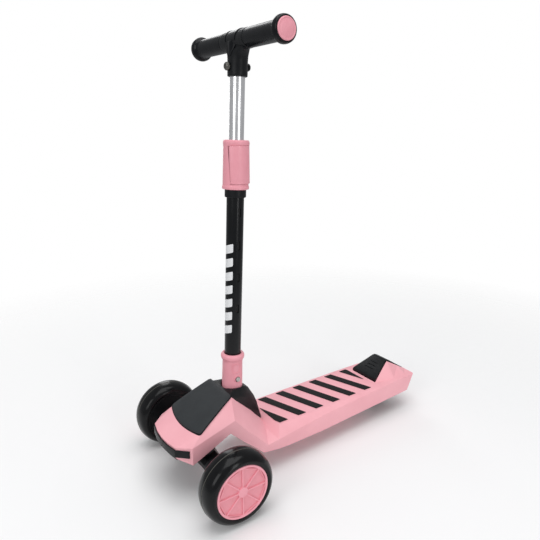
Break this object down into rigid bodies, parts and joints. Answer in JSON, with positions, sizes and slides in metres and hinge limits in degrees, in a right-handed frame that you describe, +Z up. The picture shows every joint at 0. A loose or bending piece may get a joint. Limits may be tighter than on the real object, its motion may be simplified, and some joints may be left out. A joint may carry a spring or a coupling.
{
  "type": "kick scooter",
  "caption": "Child's three-wheeled kick scooter steered by leaning: two large front wheels, a moulded pink deck with slanted grip strips, a height-adjustable T handlebar and a rear foot brake.",
  "frame": {"origin": "on the ground, under the middle of the whole scooter's length and width", "axes": "+Z up; the front of the scooter faces -Y, so +Y runs from the front wheels to the foot brake; +X is the rider's left, where the height button is"},
  "size_m": [0.3, 0.558, 0.7281],
  "materials": {
    "pink_shell": "satin moulded",
    "pink_trim": "satin moulded",
    "hood_grey": "satin",
    "black_plastic": "satin moulded",
    "black_rubber": "matt, fine texture",
    "grip_rubber": "smooth, slightly glossy",
    "black_paint": "gloss",
    "silver_tube": "polished",
    "smoke_tyre": "smoky gloss polyurethane",
    "red_core": "translucent red",
    "steel": "zinc plated"
  },
  "bodies": {
    "deck": {"deck_shell": "pink_shell", "hood_panel": "hood_grey", "stem_housing": "black_plastic", "bumper_strip": "black_plastic", "nose_undertray": "black_plastic", "grip_strip_1": "black_rubber", "grip_strip_2": "black_rubber", "grip_strip_3": "black_rubber", "grip_strip_4": "black_rubber", "grip_strip_5": "black_rubber", "grip_strip_6": "black_rubber", "grip_strip_7": "black_rubber", "stem_post": "steel", "stem_collar": "pink_trim", "collar_screw": "steel", "outer_tube": "black_paint", "tube_top_bush": "black_plastic", "clamp_sleeve": "pink_trim", "kingpin_bolt": "steel", "kingpin_nut": "steel", "rear_wheel_bracket": "black_plastic", "rear_axle_bolt": "steel", "rear_axle_nut": "steel", "brake_hinge_pin": "steel", "brake_spring": "steel"},
    "height_button": {"height_button": "pink_trim"},
    "handlebar": {"inner_tube": "silver_tube", "tube_guide_plug": "black_plastic", "lock_pin": "steel", "lock_spring": "steel", "handle_tee": "black_plastic", "handle_front_trim": "black_plastic", "bar_tube": "steel", "grip_left": "grip_rubber", "grip_right": "grip_rubber", "end_cap_left": "pink_trim", "end_cap_right": "pink_trim", "tee_bolt": "steel", "tee_nut": "black_plastic"},
    "truck": {"truck_beam": "black_plastic", "axle_bolt_left": "steel", "axle_bolt_right": "steel", "kingpin_bush_upper": "black_rubber", "kingpin_bush_lower": "black_rubber"},
    "rear_wheel": {"rear_tyre": "smoke_tyre", "rear_core": "red_core", "rear_bearing_left": "steel", "rear_bearing_right": "steel"},
    "brake": {"brake_pedal": "black_plastic"},
    "front_wheel_left": {"front_tyre_left": "smoke_tyre", "front_core_left": "red_core", "hub_cover_left": "pink_trim", "bearing_inner_left": "steel", "bearing_outer_left": "steel"},
    "front_wheel_right": {"front_tyre_right": "smoke_tyre", "front_core_right": "red_core", "hub_cover_right": "pink_trim", "bearing_inner_right": "steel", "bearing_outer_right": "steel"}
  },
  "joints": [
    {"name": "height_slide", "type": "slide", "parent": "deck", "child": "handlebar", "axis": [0, 0.0412, 0.9992], "range_m": [-0.085, 0.107]},
    {"name": "height_button_press", "type": "slide", "parent": "deck", "child": "height_button", "axis": [-1, 0, 0], "range_m": [0, 0.002], "stiffness_N_per_m": 600, "springref_m": -0.002},
    {"name": "truck_lean", "type": "hinge", "parent": "deck", "child": "truck", "pos_m": [0, -0.21205, 0.06], "axis": [0, -0.5736, 0.8192], "range_deg": [-8, 8], "stiffness_Nm_per_rad": 25},
    {"name": "front_wheel_left_spin", "type": "hinge", "parent": "truck", "child": "front_wheel_left", "pos_m": [0.1285, -0.21205, 0.06], "axis": [1, 0, 0], "continuous": true},
    {"name": "front_wheel_right_spin", "type": "hinge", "parent": "truck", "child": "front_wheel_right", "pos_m": [-0.1285, -0.21205, 0.06], "axis": [1, 0, 0], "continuous": true},
    {"name": "rear_wheel_spin", "type": "hinge", "parent": "deck", "child": "rear_wheel", "pos_m": [0, 0.21795, 0.04], "axis": [1, 0, 0], "continuous": true},
    {"name": "brake_press", "type": "hinge", "parent": "deck", "child": "brake", "pos_m": [0, 0.18295, 0.0705], "axis": [-1, 0, 0], "range_deg": [0, 4.5], "stiffness_Nm_per_rad": 4, "springref_deg": -3.44}
  ]
}
